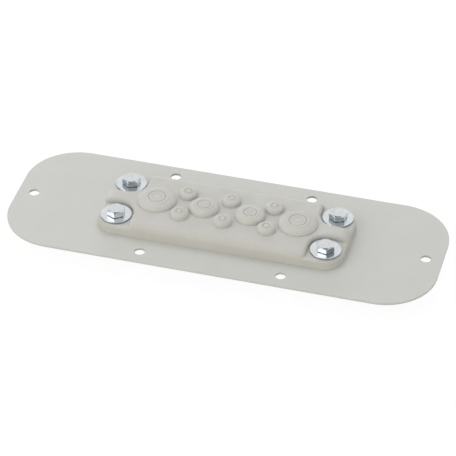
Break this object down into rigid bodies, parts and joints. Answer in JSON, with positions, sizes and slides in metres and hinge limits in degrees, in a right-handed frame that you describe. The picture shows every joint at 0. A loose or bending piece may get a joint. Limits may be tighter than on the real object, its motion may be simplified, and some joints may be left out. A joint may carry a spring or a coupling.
{
  "type": "membrane cable entry plate",
  "caption": "Painted steel flange plate with a moulded elastomer membrane block, bolted on with wide washers, that seals cables pushed through its round membranes.",
  "frame": {"origin": "centre of the plate's back face, the face that lies on the enclosure, midway between the fixing holes", "axes": "+X along the plate's length, +Y across it, +Z out of the enclosure towards the membranes"},
  "size_m": [0.266, 0.0966, 0.0256],
  "materials": {
    "painted_plate": "light grey powder coat, fine texture, satin",
    "elastomer": "moulded grey elastomer, matt",
    "zinc_steel": "bright zinc plate"
  },
  "bodies": {
    "root": {"flange_plate": "painted_plate", "membrane_block": "elastomer", "wide_washer_front_left": "zinc_steel", "wide_washer_front_right": "zinc_steel", "wide_washer_back_left": "zinc_steel", "wide_washer_back_right": "zinc_steel", "hex_bolt_front_left": "zinc_steel", "hex_bolt_front_right": "zinc_steel", "hex_bolt_back_left": "zinc_steel", "hex_bolt_back_right": "zinc_steel", "plain_washer_front_left": "zinc_steel", "plain_washer_front_right": "zinc_steel", "plain_washer_back_left": "zinc_steel", "plain_washer_back_right": "zinc_steel", "hex_nut_front_left": "zinc_steel", "hex_nut_front_right": "zinc_steel", "hex_nut_back_left": "zinc_steel", "hex_nut_back_right": "zinc_steel"}
  },
  "joints": []
}
